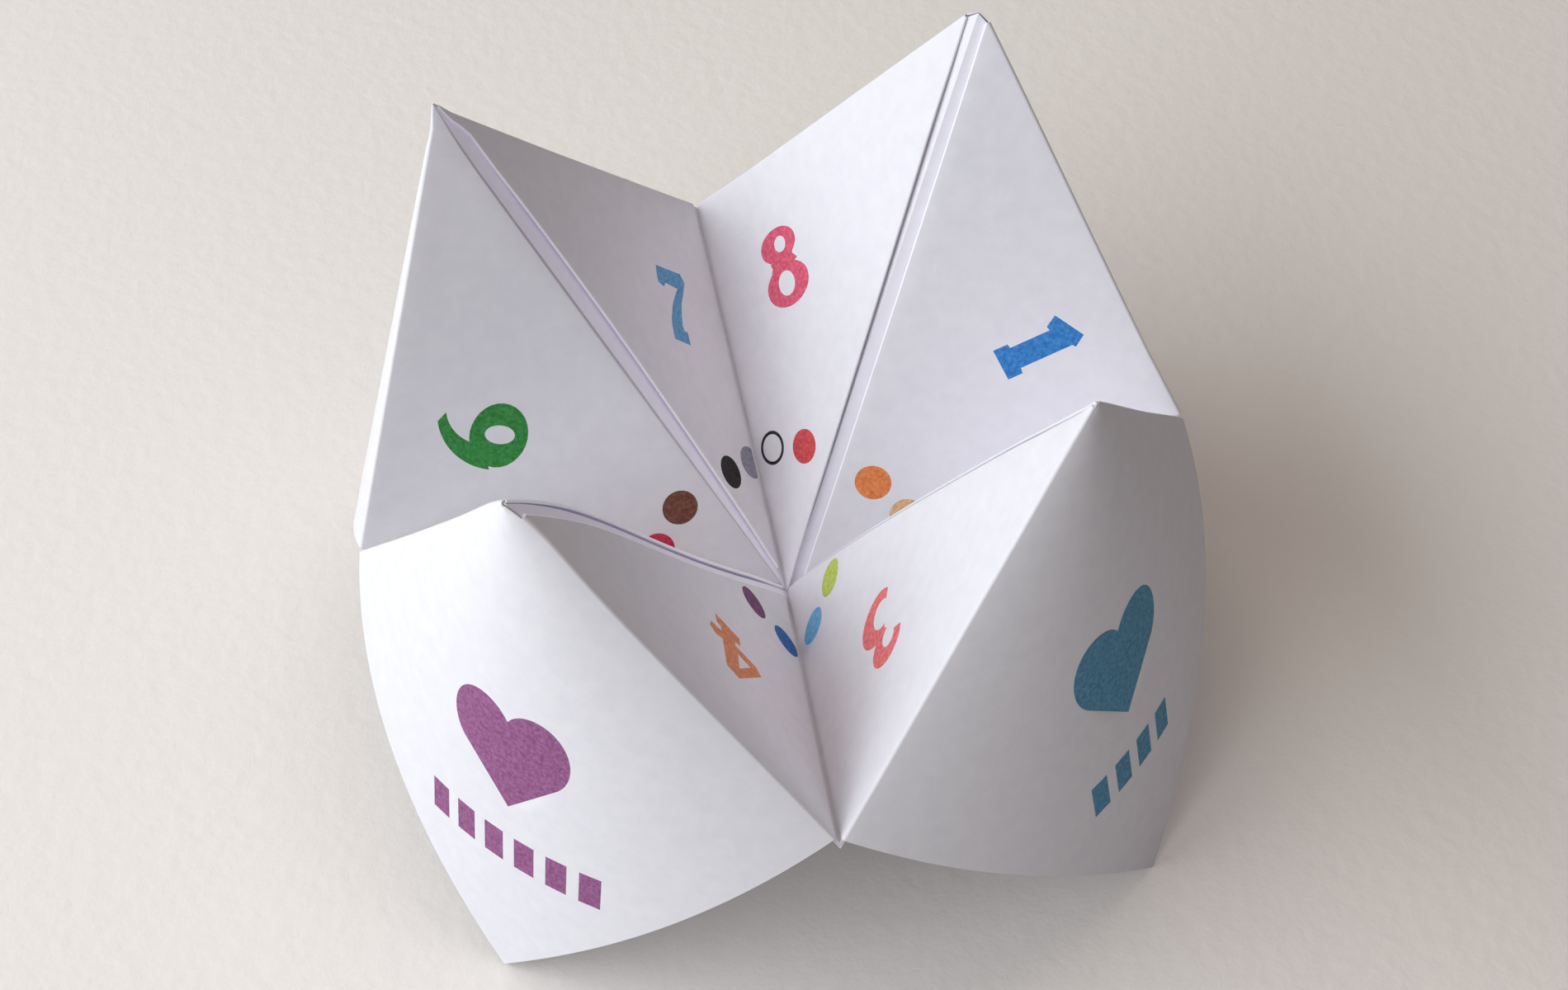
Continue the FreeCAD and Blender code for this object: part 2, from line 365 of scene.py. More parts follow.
class Sheet:
    """A surface of points, each with its printed side and its back, and faces between them."""

    def __init__(self):
        self.cells = {}
        self.seams = {}
        self.front = []
        self.back = []
        self.faces = []

    def point(self, front, back):
        """The number of a point, the same one for two that lie together."""
        cell = [round(value / WELD) for value in (front + back) / 2]
        for step in NEAR_CELLS:
            found = self.cells.get(tuple(value + shift for value, shift in zip(cell, step)))
            if found is not None:
                return found
        self.cells[tuple(cell)] = len(self.front)
        self.front.append(front)
        self.back.append(back)
        return len(self.front) - 1

    def seam_point(self, name, front, back):
        """A point that both panels beside a crease share."""
        if name not in self.seams:
            self.seams[name] = self.point(front, back)
        return self.seams[name]

    def face(self, corners, slot):
        corners = [c for i, c in enumerate(corners) if c != corners[i - 1]]
        if len(set(corners)) < 3:
            return
        a, b, c = (self.front[corner] for corner in corners[:3])
        outward = sum((self.front[c] - self.back[c] for c in corners), Vector())
        if (b - a).cross(c - a).dot(outward) < 0:
            corners.reverse()
        self.faces.append((tuple(corners), slot))

    def grid(self, rows, slot):
        for low, high in zip(rows, rows[1:]):
            for i in range(len(low) - 1):
                self.face([low[i], low[i + 1], high[i + 1], high[i]], slot)


def unit(vector):
    return vector.normalized()


def crease_end(bearing, rise, length):
    """Where a crease of that length from the centre ends."""
    across = length * math.cos(math.radians(rise))
    turn = math.radians(bearing)
    lift = length * math.sin(math.radians(rise))
    return CENTRE + Vector((across * math.cos(turn), across * math.sin(turn), lift))


def smooth(value):
    value = min(1.0, max(0.0, value))
    return value * value * (3 - 2 * value)


def shifted_line(start, end, inside, first_shift, last_shift):
    run = end - start
    side = Vector((run.y, -run.x)).normalized()
    if (inside - start).dot(side) > 0:
        side = -side
    return start + side * first_shift, end + side * last_shift


def crossing(first, second):
    (a, b), (c, d) = first, second
    run, other = b - a, d - c
    spread = run.x * other.y - run.y * other.x
    share = ((c.x - a.x) * other.y - (c.y - a.y) * other.x) / spread
    return a + run * share


class Panel:
    """One of the eight triangles of the mouth, between a median and a ridge."""

    def __init__(self, key, median_end, tip, other_tip, other_median_end):
        self.key = key
        self.median_end = median_end
        self.tip = tip
        self.up = unit(tip - median_end)
        self.normal = unit((median_end - CENTRE).cross(tip - CENTRE))
        if self.normal.z < 0:
            self.normal = -self.normal
        self.inward = self.normal.cross(self.up)
        if self.inward.dot(CENTRE - median_end) < 0:
            self.inward = -self.inward
        self.centre_flat = self.flatten(CENTRE)
        self.tip_flat = self.flatten(tip)
        self.median_slope, self.median_normal = self.mitre(median_end, other_tip)
        ridge_slope, self.ridge_normal = self.mitre(tip, other_median_end)
        self.ridge_slope = -ridge_slope

    def mitre(self, crease_far_end, neighbour_corner):
        """How far a layer reaches past the crease for its depth, and which way its edge faces."""
        normal = unit((crease_far_end - CENTRE).cross(neighbour_corner - CENTRE))
        if normal.z < 0:
            normal = -normal
        return math.tan(normal.angle(self.normal) / 2), unit(normal + self.normal)

    def flatten(self, point):
        offset = point - self.median_end
        return Vector((offset.dot(self.inward), offset.dot(self.up)))

    def place(self, flat, depth):
        """The point that lies so deep under a flat place of the printed side."""
        return self.median_end + self.inward * flat.x + self.up * flat.y - self.normal * depth

    def printed(self, along, across):
        """Flat place of a print that lies so far along the median from the centre."""
        point = CENTRE + (self.median_end - CENTRE) * (along / QUARTER)
        return self.flatten(point + (self.tip - self.median_end) * (across / QUARTER))

    def lift(self, flat, edge_x):
        """How far the number and middle layers spring off the base."""
        along = self.centre_flat.x - flat.x
        if along <= 0.01:
            return 0.0
        turn = min(1.0, abs(flat.y) / along)
        from_fold = smooth((flat.x - edge_x) / LIFT_FROM_FOLD)
        return FLAP_LIFT * turn ** 2 * from_fold * smooth(along / LIFT_FROM_CENTRE)

    def layer(self, flat, depth, lift=0.0):
        """Front and back of a layer whose printed side faces out of the mouth."""
        return self.place(flat, depth - lift), self.place(flat, depth + PAPER - lift)

    def crease(self, flat, depth, normal):
        """Front and back of a layer at a mitred crease."""
        middle = self.place(flat, depth + PAPER / 2)
        reach = normal * (PAPER / 2 / normal.dot(self.normal))
        return middle + reach, middle - reach


def outline(panel, edge_x, median_shift, ridge_shifts):
    """Corners of a layer at the median end, the centre and the tip."""
    corner = Vector((0.0, 0.0))
    median = shifted_line(corner, panel.centre_flat, panel.tip_flat, median_shift, median_shift)
    ridge = shifted_line(panel.centre_flat, panel.tip_flat, corner, *ridge_shifts)
    edge = (Vector((edge_x, 0.0)), Vector((edge_x, 10.0)))
    return [crossing(edge, median), crossing(median, ridge), crossing(ridge, edge)]


def between(start, end, count):
    return [start.lerp(end, i / count) for i in range(count + 1)]


def inside(point, ring):
    hit = False
    for i, a in enumerate(ring):
        b = ring[i - 1]
        if (a.y > point.y) != (b.y > point.y):
            if point.x < (b.x - a.x) * (point.y - a.y) / (b.y - a.y) + a.x:
                hit = not hit
    return hit


def edge_distance(point, ring):
    nearest = math.inf
    for i, corner in enumerate(ring):
        before = ring[i - 1]
        foot, share = geometry.intersect_point_line(point, before, corner)
        if 0 <= share <= 1:
            nearest = min(nearest, (point - foot.xy).length)
        else:
            nearest = min(nearest, (point - corner).length, (point - before).length)
    return nearest


def counterclockwise(indices, points):
    ring = [points[index] for index in indices]
    area = sum(a.x * b.y - b.x * a.y for a, b in zip(ring, ring[1:] + ring[:1]))
    return indices if area > 0 else indices[::-1]


def fill(sheet, ring, prints, step, locate, seams=None, ground=PAPER_SLOT):
    """Triangles inside a flat outline, cut along the printed shapes, then folded into place.
    A print is (slot, outer ring, hole ring or None), and ground is the slot of the bare paper.
    Seams gives the sheet's own point for some of the outline's points."""
    points = list(ring)
    rings = [counterclockwise(list(range(len(ring))), points)]
    for _, outer, hole in prints:
        for shape in (outer, hole):
            if shape:
                indices = list(range(len(points), len(points) + len(shape)))
                points += shape
                rings.append(counterclockwise(indices, points))
    low = Vector((min(p.x for p in ring), min(p.y for p in ring)))
    high = Vector((max(p.x for p in ring), max(p.y for p in ring)))
    for row in range(int((high.y - low.y) / (step * ROW_SHARE)) + 1):
        y = low.y + row * step * ROW_SHARE
        for column in range(int((high.x - low.x) / step) + 1):
            candidate = Vector((low.x + (column + row % 2 / 2) * step, y))
            if inside(candidate, ring) and edge_distance(candidate, ring) > step * EDGE_SHARE:
                points.append(candidate)
    found = geometry.delaunay_2d_cdt(points, [], rings, 1, 1e-5, True)
    flats, _, triangles, sources, _, origins = found
    placed = []
    for flat, source in zip(flats, sources):
        held = [seams[index] for index in source if seams and index in seams]
        placed.append(held[0] if held else sheet.point(*locate(flat)))
    for triangle, origin in zip(triangles, origins):
        if 0 not in origin:
            continue
        slot = ground
        index = 1
        for print_slot, _, hole in prints:
            inked = index in origin
            index += 1
            if hole:
                inked = inked and index not in origin
                index += 1
            if inked:
                slot = print_slot
        sheet.face([placed[vertex] for vertex in triangle], slot)


def arc(centre, radius_x, radius_y, start, end, steps):
    turns = [math.radians(start + (end - start) * i / steps) for i in range(steps + 1)]
    return [centre + Vector((radius_x * math.cos(t), radius_y * math.sin(t))) for t in turns]


def ellipse(centre, radius_x, radius_y):
    return arc(centre, radius_x, radius_y, 0, 360, CURVE_STEPS)[:-1]


def crescent(outer, inner, start, end):
    """A bent stroke between two ovals, each (x, y, radius_x, radius_y)."""
    outside = arc(Vector(outer[:2]), outer[2], outer[3], start, end, CURVE_STEPS)
    return outside + arc(Vector(inner[:2]), inner[2], inner[3], end, start, CURVE_STEPS)


def box(x0, y0, x1, y1):
    return [Vector((x0, y0)), Vector((x1, y0)), Vector((x1, y1)), Vector((x0, y1))]


def polygon(*pairs):
    return [Vector(pair) for pair in pairs]


def number_shapes(number):
    """Bold figures with slab feet, one unit tall and centred, as (outer ring, hole) pairs."""
    if number == "1":
        return [(polygon(
            (-0.15, -0.5), (0.23, -0.5), (0.23, -0.32), (0.165, -0.31), (0.165, 0.33),
            (0.2, 0.36), (0.11, 0.5), (-0.23, 0.31), (-0.15, 0.17), (-0.1, 0.18),
            (-0.1, -0.31), (-0.15, -0.32),
        ), None)]
    if number == "2":
        return [
            (crescent((0, 0.2, 0.33, 0.3), (-0.06, 0.17, 0.12, 0.15), -35, 170), None),
            (polygon((0.08, 0.1), (0.26, 0.02), (-0.04, -0.32), (-0.34, -0.36)), None),
            (box(-0.34, -0.5, 0.32, -0.3), None),
            (box(0.2, -0.4, 0.34, -0.16), None),
        ]
    if number == "3":
        return [
            (crescent((-0.045, 0.29, 0.295, 0.26), (-0.09, 0.24, 0.12, 0.13), -95, 165), None),
            (crescent((-0.01, -0.22, 0.34, 0.33), (-0.08, -0.2, 0.165, 0.185), -150, 95), None),
        ]
    if number == "4":
        return [(
            polygon(
                (0.3, -0.45), (0.29, -0.3), (0.22, -0.28), (0.22, -0.2), (0.4, -0.17),
                (0.44, -0.05), (0.33, 0.01), (0.22, -0.05), (0.22, 0.46), (0.02, 0.48),
                (-0.44, -0.1), (-0.36, -0.21), (-0.02, -0.2), (-0.02, -0.28), (-0.12, -0.31),
                (-0.12, -0.47),
            ),
            polygon((-0.04, -0.06), (-0.02, 0.24), (-0.25, -0.06)),
        )]
    if number == "5":
        return [
            (box(-0.26, 0.3, 0.28, 0.5), None),
            (box(-0.26, -0.02, -0.1, 0.5), None),
            (crescent((-0.02, -0.18, 0.34, 0.32), (-0.08, -0.17, 0.15, 0.16), -155, 125), None),
        ]
    if number == "6":
        return [
            (
                ellipse(Vector((0.02, -0.19)), 0.38, 0.33),
                ellipse(Vector((0.03, -0.2)), 0.11, 0.17),
            ),
            (crescent((0.3, -0.15, 0.69, 0.69), (0.35, 0.0, 0.455, 0.455), 106, 180), None),
        ]
    if number == "7":
        return [(polygon(
            (-0.27, 0.49), (0.24, 0.47), (0.3, 0.36), (0.21, 0.2), (0.12, 0.06), (0.06, -0.11),
            (0.03, -0.24), (0.04, -0.31), (0.11, -0.32), (0.11, -0.49), (-0.22, -0.46),
            (-0.21, -0.28), (-0.18, -0.17), (-0.09, 0.01), (0.0, 0.13), (0.1, 0.25),
            (-0.15, 0.28), (-0.19, 0.22), (-0.3, 0.26), (-0.3, 0.37),
        ), None)]
    return [
        (ellipse(Vector((-0.015, 0.285)), 0.32, 0.215), ellipse(Vector((0.02, 0.285)), 0.1, 0.1)),
        (ellipse(Vector((0.0, -0.23)), 0.38, 0.27), ellipse(Vector((-0.02, -0.21)), 0.145, 0.155)),
        (polygon(
            (-0.24, -0.01), (0.14, -0.03), (0.26, 0.02), (0.19, 0.1), (0.22, 0.15), (0.1, 0.17),
            (-0.14, 0.16), (-0.22, 0.1), (-0.2, 0.04),
        ), None),
    ]


def panel_prints(panel):
    """The number and the two dots of one panel."""
    number = NUMBERS[panel.key]
    centre, *spots = (Vector(place) for place in PRINT_PLACES[number])
    mirrored = panel.inward.cross(panel.up).dot(panel.normal) < 0
    rightward = Vector((0, -1 if mirrored else 1))

    def printed(ring):
        places = [centre + (rightward * p.x + Vector((p.y, 0))) * NUMBER_HEIGHT for p in ring]
        return [panel.printed(place.x, place.y) for place in places]

    slot = paint("ink_" + number, NUMBER_COLOURS[number])
    prints = []
    for outer, hole in number_shapes(number):
        prints.append((slot, printed(outer), printed(hole) if hole else None))
    for index, (spot, rgb) in enumerate(zip(spots, DOT_COLOURS[number])):
        ring = [panel.printed(p.x, p.y) for p in ellipse(spot, DOT_RADIUS, DOT_RADIUS)]
        hole = None
        if number == RING_NUMBER and index == 0:
            inner = DOT_RADIUS - RING_WIDTH
            hole = [panel.printed(p.x, p.y) for p in ellipse(spot, inner, inner)]
        prints.append((paint("ink_dot_%s_%d" % (number, index), rgb), ring, hole))
    return prints


def slit_line(panel, edge_x):
    """Corners of the number layer, and the folded edge beside the slit from centre to tip."""
    near, far, bow, end = SLITS[panel.key]
    shifts = (-near - FOLD_REACH, -end - FOLD_REACH)
    clearance = RAW_CLEARANCES.get(panel.key, RAW_CLEARANCE)
    corners = outline(panel, edge_x, -clearance, shifts)
    run = corners[2] - corners[1]
    away = Vector((run.y, -run.x)).normalized()
    if away.dot(corners[0] - corners[1]) < 0:
        away = -away
    points = []
    for i, point in enumerate(between(corners[1], corners[2], SLIT_STEPS)):
        share = i / SLIT_STEPS
        wanted = near + (far - near) * share + bow * math.sin(math.pi * share)
        opened = smooth((1 - share) * run.length / SLIT_CLOSING)
        wanted = end + (wanted - end) * opened
        points.append(point + away * (wanted - near - (end - near) * share))
    return corners, points, away


def fold_row(sheet, axis, start, side, sweep, front_reach, back_reach):
    """Points round a fold, from the start direction towards the side."""
    row = []
    for step in range(FOLD_STEPS + 1):
        turn = sweep * step / FOLD_STEPS
        spoke = start * math.cos(turn) + side * math.sin(turn)
        row.append(sheet.point(axis + spoke * front_reach, axis + spoke * back_reach))
    return row


def build_panel(sheet, panel, edge_x, outer_radius, sweep):
    """Number, middle and base layers with the folds between them. Returns where the pocket
    starts: the heights along the outer fold, from the median end to the tip."""
    ridge, median = panel.key
    glow = GLOWS.get(panel.key, 0.0)
    # Painted light: the base layer at these slits glows faintly lilac in place of the light that
    # comes through the single sheet, and the folded edges beside it glow white as a painted
    # highlight
    strip = paint("paper_glow_%s_%s" % panel.key, None, glow) if glow else PAPER_SLOT
    lit_edge = paint("paper_edge_painted_highlight", None, EDGE_HIGHLIGHT_GLOW, EDGE_HIGHLIGHT_COLOUR) if glow else PAPER_SLOT
    corners, slit, away = slit_line(panel, edge_x)
    edge = between(corners[0], corners[2], EDGE_STEPS)
    raw = between(corners[0], corners[1], EDGE_STEPS)

    def number_layer(flat):
        return panel.layer(flat, 0, panel.lift(flat, edge_x))

    def middle_layer(flat):
        return panel.layer(flat, PITCH, panel.lift(flat, edge_x))[::-1]

    ring = raw[:-1] + slit[:-1] + edge[:0:-1]
    fill(sheet, ring, panel_prints(panel), PANEL_STEP, number_layer)

    # The middle layer runs on across the median
    shift = (PITCH + PAPER / 2) * panel.median_slope
    low, centre, _ = outline(panel, edge_x, shift, (0, 0))
    slit_start = crossing((low, centre), (slit[0], slit[1]))
    seam = []
    while len(seam) * SEAM_STEP < (slit_start - low).length - SEAM_STEP / 2:
        seam.append(low + (centre - low).normalized() * (len(seam) * SEAM_STEP))
    seams = {}
    for i, flat in enumerate(seam):
        front, back = panel.crease(flat, PITCH, panel.median_normal)
        seams[i] = sheet.seam_point(("middle", median, i), back, front)
    ring = seam + [slit_start] + slit + edge[::-1]
    fill(sheet, ring, [], HIDDEN_STEP, middle_layer, seams)

    # The folded edge beside the slit
    rows = []
    for i, flat in enumerate(slit):
        ahead = slit[min(i + 1, SLIT_STEPS)] - slit[max(i - 1, 0)]
        side = Vector((ahead.y, -ahead.x)).normalized()
        if side.dot(away) > 0:
            side = -side
        outward = panel.inward * side.x + panel.up * side.y
        axis = panel.place(flat, PAPER + GAP / 2 - panel.lift(flat, edge_x))
        rows.append(fold_row(sheet, axis, panel.normal, outward, math.pi, FOLD_REACH, FOLD_RADIUS))
    sheet.grid(rows, lit_edge)

    # The inner fold, from the middle layer round to the base, and the outer one to the pocket
    inner_rows = []
    outer_rows = []
    for flat in edge:
        axis = panel.place(flat, INNER_FOLD_DEPTH)
        turn = (panel.normal, -panel.inward)
        inner_rows.append(fold_row(sheet, axis, *turn, math.pi, FOLD_RADIUS, FOLD_REACH))
        axis = panel.place(flat, PAPER / 2 + outer_radius)
        reaches = (outer_radius + PAPER / 2, outer_radius - PAPER / 2)
        outer_rows.append(fold_row(sheet, axis, *turn, sweep, *reaches))
    sheet.grid(inner_rows, PAPER_SLOT)
    sheet.grid(outer_rows, PAPER_SLOT)

    # The base layer, mitred at both creases
    depth = 2 * PITCH
    middle_depth = depth + PAPER / 2
    ridge_shift = middle_depth * panel.ridge_slope
    low, centre, high = outline(
        panel, edge_x, middle_depth * panel.median_slope, (ridge_shift, ridge_shift)
    )
    ridge_line = between(high, centre, EDGE_STEPS)
    median_line = between(centre, low, EDGE_STEPS)
    seams = {}
    for i, flat in enumerate(ridge_line):
        name = ("ridge", ridge, i) if i < EDGE_STEPS else "centre"
        points = panel.crease(flat, depth, panel.ridge_normal)
        seams[len(edge) + i] = sheet.seam_point(name, *points)
    for i, flat in enumerate(median_line[1:]):
        points = panel.crease(flat, depth, panel.median_normal)
        seams[len(edge) + len(ridge_line) + i] = sheet.seam_point(("base", median, i), *points)
    ring = edge + ridge_line + median_line[1:]
    fill(sheet, ring, [], HIDDEN_STEP, lambda flat: panel.layer(flat, depth), seams, strip)
    return [flat.y for flat in edge]


def cone_half_angle(chord_angle, surface_angle):
    """Half angle of the round cone that a flat corner fits round between two fold lines."""
    low, high = chord_angle / 2, math.pi / 2
    for _ in range(CONE_HALVINGS):
        trial = (low + high) / 2
        spin = 2 * math.asin(min(1.0, math.sin(chord_angle / 2) / math.sin(trial)))
        if spin * math.sin(trial) > surface_angle:
            low = trial
        else:
            high = trial
    return (low + high) / 2


def heart_ring():
    """A plain heart of two oval lobes and two straight sides, as (along, across) places."""
    along, across, length, width = HEART_LOBE
    lobe = arc(Vector((across, 0)), width, length, *HEART_LOBE_ENDS, CURVE_STEPS)
    side = [Vector((along - point.y, point.x)) for point in lobe]
    return side + [Vector((HEART_POINT, 0))] + [Vector((p.x, -p.y)) for p in reversed(side)]


def pocket_prints(name, surface_angle):
    """The heart and the bars of one pocket."""
    along = Vector((math.cos(surface_angle / 2), math.sin(surface_angle / 2)))
    across = Vector((-along.y, along.x))
    shift = Vector(PRINT_SHIFTS[name])
    rings = [[place + shift for place in heart_ring()]]
    for i in range(BAR_COUNTS[name]):
        middle = (i - (BAR_COUNTS[name] - 1) / 2) * BAR_PITCH + shift.y
        low = BAR_DISTANCES[name] - BAR_HEIGHT / 2
        rings.append(box(low, middle - BAR_WIDTH / 2, low + BAR_HEIGHT, middle + BAR_WIDTH / 2))
    slot = paint("ink_heart_" + name, HEART_COLOURS[name])
    return [(slot, [along * p.x + across * p.y for p in ring], None) for ring in rings]


def build_pocket(sheet, name, tips, ends):
    """One finger pocket on a round cone, with the two panels that it hangs from."""
    first, second, degrees = POCKETS[name]
    tip = tips[name]
    panels = []
    for median, other in ((first, second), (second, first)):
        beside = [ridge for ridge in POCKETS if ridge != name and median in POCKETS[ridge][:2]]
        panels.append(Panel((name, median), ends[median], tip, tips[beside[0]], ends[other]))
    rays = [-panel.up for panel in panels]

    # The round cone through both fold lines
    surface_angle = math.radians(degrees)
    chord_angle = rays[0].angle(rays[1])
    half_angle = cone_half_angle(chord_angle, surface_angle)
    bisector = unit(rays[0] + rays[1])
    bulge = unit(rays[0].cross(rays[1]))
    if bulge.dot(tip - CENTRE) < 0 or bulge.z > 0.9:
        bulge = -bulge
    tilt = math.acos(min(1.0, math.cos(half_angle) / math.cos(chord_angle / 2)))
    axis = bisector * math.cos(tilt) - bulge * math.sin(tilt)
    spin = surface_angle / math.sin(half_angle)
    turn = 1 if axis.cross(rays[0]).dot(rays[1]) > 0 or spin > math.pi else -1
    leaving = [unit(axis.cross(rays[0])) * turn, unit(axis.cross(rays[1])) * -turn]
    lean = [leave.dot(panel.inward) for leave, panel in zip(leaving, panels)]
    apex_depth = PAPER / 2 + OUTER_FOLD_RADIUS * (1 + max(lean))
    radii = [(apex_depth - PAPER / 2) / (1 + value) for value in lean]
    sweeps = [math.pi - math.acos(value) for value in lean]
    normal_sum = panels[0].normal + panels[1].normal
    sink = normal_sum * (apex_depth / (1 + panels[0].normal.dot(panels[1].normal)))
    ridge = unit(CENTRE - tip)
    slides = []
    for panel, radius, sweep in zip(panels, radii, sweeps):
        wanted = radius + PAPER / 2 - radius * math.sin(sweep)
        slides.append((wanted + sink.dot(panel.inward)) / ridge.dot(panel.inward))
    apex = tip - sink + ridge * (sum(slides) / 2)

    starts = []
    edges = []
    for panel, radius, sweep in zip(panels, radii, sweeps):
        flat_apex = panel.flatten(apex)
        heights = build_panel(sheet, panel, flat_apex.x + radius * math.sin(sweep), radius, sweep)
        starts.append([flat_apex.y - height for height in heights])
        edges.append(flat_apex.y - heights[0])

    surface_normal = unit(leaving[0].cross(rays[0]))
    if surface_normal.dot(tip - CENTRE) < 0:
        surface_normal = -surface_normal

    def locate(flat):
        reach = flat.length
        angle = math.atan2(flat.y, flat.x)
        spun = Matrix.Rotation(turn * angle / math.sin(half_angle), 3, axis)
        middle = apex + (spun @ rays[0]) * reach
        outward = (spun @ surface_normal) * (PAPER / 2)
        return middle + outward, middle - outward

    level, rise = math.cos(surface_angle), math.sin(surface_angle)
    corner_angle = math.atan2(edges[1] / edges[0] - level, rise)
    corner = Vector((1.0, math.tan(corner_angle))) * edges[0]
    along = [Vector((1.0, 0.0)), Vector((level, rise))]
    first_ray = [along[0] * reach for reach in starts[0]]
    second_ray = [along[1] * reach for reach in starts[1]]
    tip_arc = []
    for i in range(1, FOLD_STEPS):
        angle = surface_angle * i / FOLD_STEPS
        tip_arc.append(Vector((math.cos(angle), math.sin(angle))) * POCKET_TIP)
    ring = first_ray + tip_arc + second_ray[::-1]
    ring += between(second_ray[0], corner, EDGE_STEPS)[1:-1]
    ring += between(corner, first_ray[0], EDGE_STEPS)[:-1]
    fill(sheet, ring, pocket_prints(name, surface_angle), POCKET_STEP, locate)


def bowed(point):
    """How far the creases that aren't straight carry a point of the sheet."""
    shift = Vector()
    for ridge, (height, power) in RIDGE_BOWS.items():
        bearing, rise, slip = RIDGES[ridge]
        length = HALF_DIAGONAL + slip
        along = (crease_end(bearing, rise, length) - CENTRE) / length
        share = (point - CENTRE).dot(along) / length
        if not 0 < share < 1:
            continue
        apart = (point - CENTRE - along * (share * length)).length
        peak = (power / (power + 1)) ** power / (power + 1)
        swell = share ** power * (1 - share) / peak * math.exp(-(apart / BOW_WIDTH) ** 2)
        outward = Vector((0, 0, 1)) - along * along.z
        shift += outward.normalized() * (height * swell)
    return shift


def tip_shape(point):
    """How the worn tips carry a point: one pressed flat, others drawn to a sharp end."""
    shift = Vector()
    blunt, stretch, length, stop = BLUNT_TIP
    for ridge, (bearing, rise, slip) in RIDGES.items():
        tip = crease_end(bearing, rise, HALF_DIAGONAL + slip)
        along = unit(tip - CENTRE)
        offset = point - tip
        if ridge == blunt:
            reach = offset.dot(along)
            drawn = reach + stretch * max(0.0, 1 + reach / length)
            shift += along * (min(drawn, stop) - reach)
        elif ridge in PINCHED_TIPS and offset.length < PINCH_REACH:
            hold = PINCH_HOLD * math.sqrt(1 - offset.length / PINCH_REACH)
            shift += (along * PINCHED_TIPS[ridge] - offset) * hold
    return shift


def sheet_object(sheet):
    """Front, back and raw edges of the paper as one mesh."""
    count = len(sheet.front)
    places = []
    for point in sheet.front + sheet.back:
        wave = noise.noise_vector(point / WAVE_LENGTH) * WAVE_HEIGHT
        calm = smooth(point.z / WAVE_START)
        places.append((point + wave * calm + bowed(point) + tip_shape(point)) * MM)
    faces = []
    slots = []
    for corners, slot in sheet.faces:
        faces.append(corners)
        slots.append(slot)
        faces.append(tuple(corner + count for corner in reversed(corners)))
        slots.append(PAPER_SLOT)
    used = {}
    for corners, _ in sheet.faces:
        for i, b in enumerate(corners):
            a = corners[i - 1]
            used.setdefault((min(a, b), max(a, b)), []).append((a, b))
    for uses in used.values():
        if len(uses) == 1:
            a, b = uses[0]
            faces.append((b, a, a + count, b + count))
            slots.append(PAPER_SLOT)
    mesh = bpy.data.meshes.new("folded_paper")
    mesh.from_pydata(places, [], faces)
    for material in paints:
        mesh.materials.append(material)
    mesh.polygons.foreach_set("material_index", slots)
    mesh.polygons.foreach_set("use_smooth", [True] * len(faces))
    mesh.set_sharp_from_angle(angle=math.radians(SHARP_ANGLE))
    mesh.validate()
    mesh.update()
    paper = bpy.data.objects.new("folded_paper", mesh)
    bpy.context.scene.collection.objects.link(paper)
    return paper


def build_paper():
    ends = {}
    for name, (bearing, rise, slip) in MEDIANS.items():
        ends[name] = crease_end(bearing, rise, QUARTER + slip)
    tips = {}
    for name, (bearing, rise, slip) in RIDGES.items():
        tips[name] = crease_end(bearing, rise, HALF_DIAGONAL + slip)
    sheet = Sheet()
    for name in POCKETS:
        build_pocket(sheet, name, tips, ends)
    return sheet_object(sheet)


def floor_material():
    """Heavy textured paper, warm grey."""
    material = bpy.data.materials.new("table_paper")
    material.use_nodes = True
    tree = material.node_tree
    shader = tree.nodes["Principled BSDF"]
    shader.inputs["Roughness"].default_value = 0.9
    shader.inputs["Specular IOR Level"].default_value = 0.15
    shader.inputs["Base Color"].default_value = colour(TABLE_COLOUR)
    where = add(tree, "ShaderNodeTexCoord", (-1000, -200))
    pulp = add(tree, "ShaderNodeTexNoise", (-700, -200), Scale=420.0, Detail=4.0, Roughness=0.55)
    bump = add(tree, "ShaderNodeBump", (-350, -200), Strength=0.5, Distance=0.0003)
    tree.links.new(where.outputs["Object"], pulp.inputs["Vector"])
    tree.links.new(pulp.outputs["Fac"], bump.inputs["Height"])
    tree.links.new(bump.outputs["Normal"], shader.inputs["Normal"])
    return material


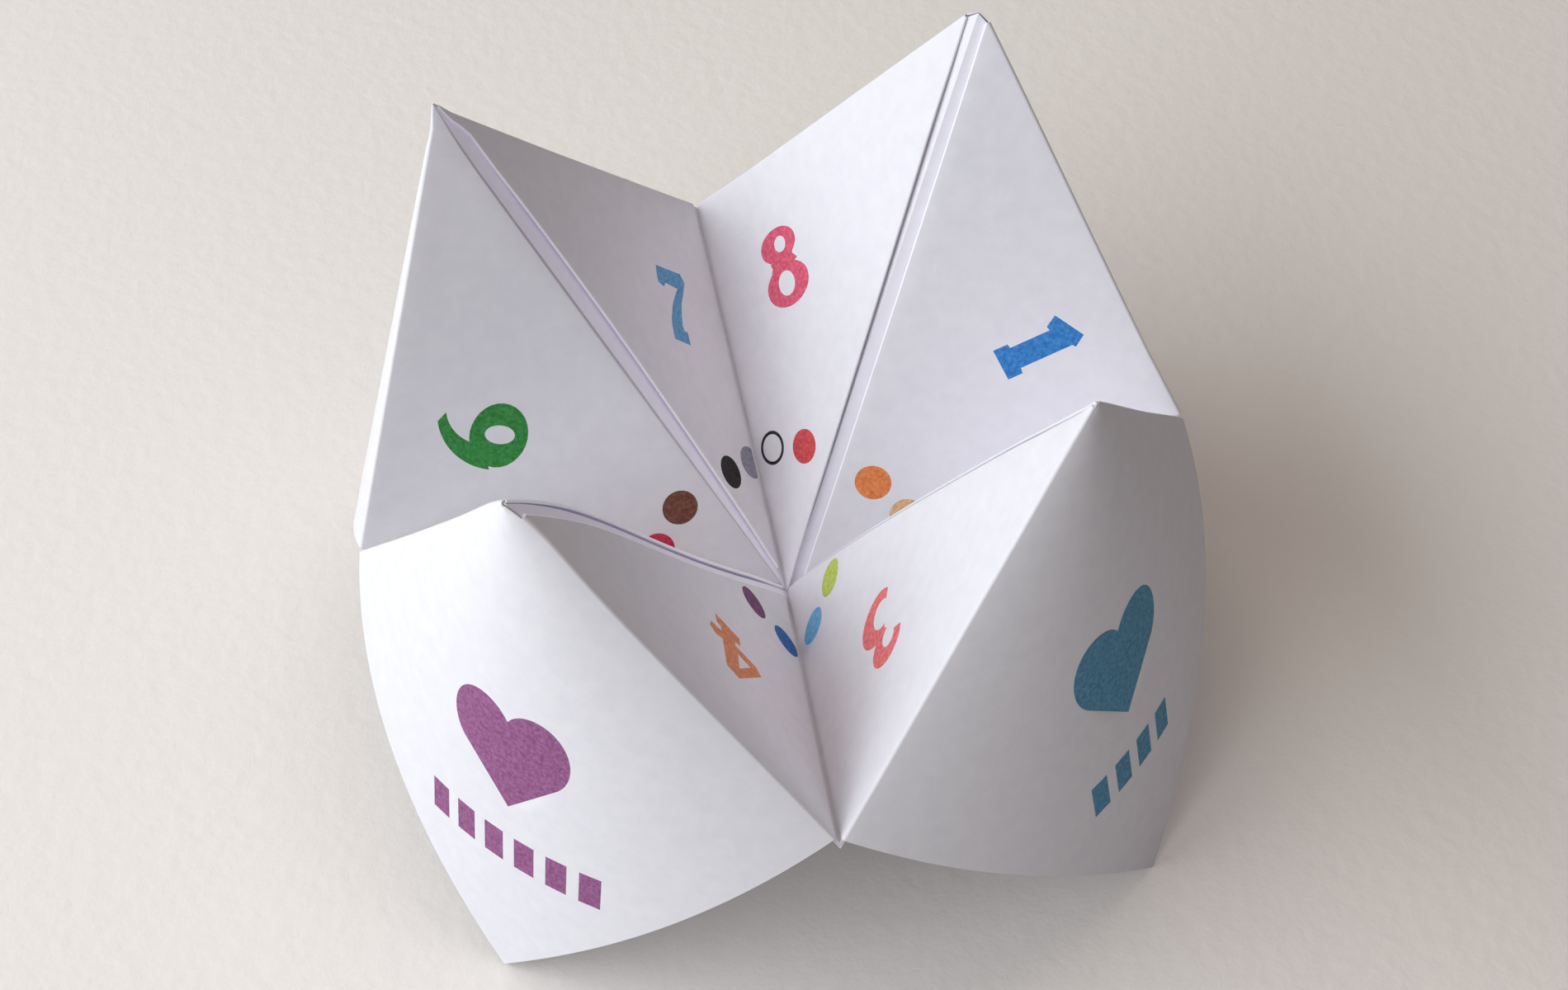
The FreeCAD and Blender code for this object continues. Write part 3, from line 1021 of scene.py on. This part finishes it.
def build_floor():
    half = TABLE_HALF_WIDTH
    mesh = bpy.data.meshes.new("floor")
    corners = [(-half, -half, 0), (half, -half, 0), (half, half, 0), (-half, half, 0)]
    mesh.from_pydata(corners, [], [(0, 1, 2, 3)])
    mesh.materials.append(floor_material())
    floor = bpy.data.objects.new("floor", mesh)
    bpy.context.scene.collection.objects.link(floor)


def window_light(name, heading, size, power, rgb):
    """A broad lamp that faces the sheet from a bearing and a height in degrees."""
    bearing, height = (math.radians(value) for value in heading)
    level = math.cos(height)
    away = Vector((level * math.cos(bearing), level * math.sin(bearing), math.sin(height)))
    light = bpy.data.lights.new(name, "AREA")
    light.shape = "RECTANGLE"
    light.size, light.size_y = size
    light.energy = power
    light.color = rgb
    lamp = bpy.data.objects.new(name, light)
    lamp.location = away * LAMP_DISTANCE + LAMP_TARGET
    lamp.rotation_euler = (-away).to_track_quat("-Z", "Y").to_euler()
    bpy.context.scene.collection.objects.link(lamp)


def build_lights():
    for name, (heading, size, power, rgb) in LAMPS.items():
        window_light(name, heading, size, power, rgb)
    world = bpy.data.worlds.new("room")
    world.use_nodes = True
    sky = world.node_tree.nodes["Background"]
    sky.inputs["Color"].default_value = colour(ROOM_COLOUR)
    sky.inputs["Strength"].default_value = ROOM_STRENGTH
    bpy.context.scene.world = world


def build_camera():
    azimuth = math.radians(CAMERA_AZIMUTH)
    elevation = math.radians(CAMERA_ELEVATION)
    roll = math.radians(CAMERA_ROLL)
    back = Vector((
        math.sin(azimuth) * math.cos(elevation),
        -math.cos(azimuth) * math.cos(elevation),
        math.sin(elevation),
    ))
    level = (-back).cross(Vector((0, 0, 1))).normalized()
    rise = level.cross(-back)
    right = level * math.cos(roll) + rise * math.sin(roll)
    up = rise * math.cos(roll) - level * math.sin(roll)
    data = bpy.data.cameras.new("camera")
    data.lens = CAMERA_LENS
    data.sensor_width = 36.0
    data.sensor_fit = "HORIZONTAL"
    data.clip_start = 0.01
    camera = bpy.data.objects.new("camera", data)
    turn = Matrix((right, up, back)).transposed().to_4x4()
    camera.matrix_world = Matrix.Translation(CAMERA_PLACE * MM) @ turn
    bpy.context.scene.collection.objects.link(camera)
    bpy.context.scene.camera = camera


build_camera()
paper = build_paper()
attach(paper, "root")
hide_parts("folded_sheet")
build_floor()
build_lights()
bpy.context.scene.view_settings.view_transform = "Standard"
